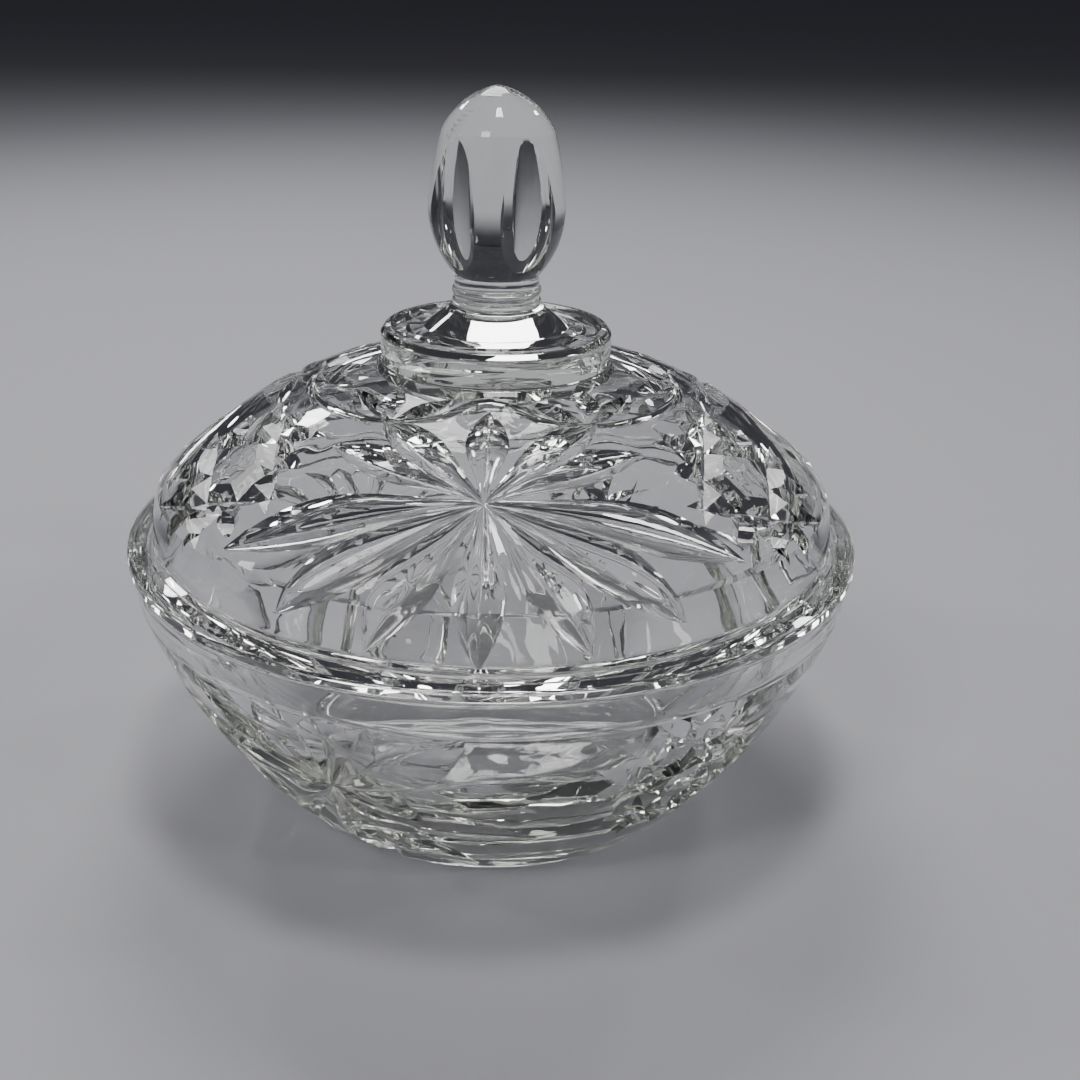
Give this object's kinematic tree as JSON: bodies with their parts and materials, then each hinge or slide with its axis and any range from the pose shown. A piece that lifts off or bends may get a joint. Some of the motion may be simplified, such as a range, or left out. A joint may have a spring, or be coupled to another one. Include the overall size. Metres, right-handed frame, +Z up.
{
  "type": "covered candy dish",
  "caption": "Round pressed-glass candy dish: a wide flaring bowl on a flat foot, and a domed lid with a collar and a fluted egg-shaped knob that lifts off.",
  "frame": {"origin": "centre of the dish's foot, on the surface it stands on", "axes": "+Z up along the dish's axis, through the knob; -Y is the front"},
  "size_m": [0.165, 0.165, 0.1581],
  "materials": {
    "clear_glass": "fire-polished"
  },
  "bodies": {
    "bowl": {"bowl": "clear_glass"},
    "lid": {"lid": "clear_glass"}
  },
  "joints": [
    {"name": "lid_lift", "type": "slide", "parent": "bowl", "child": "lid", "axis": [0, 0, 1], "range_m": [0, 0.1]}
  ]
}
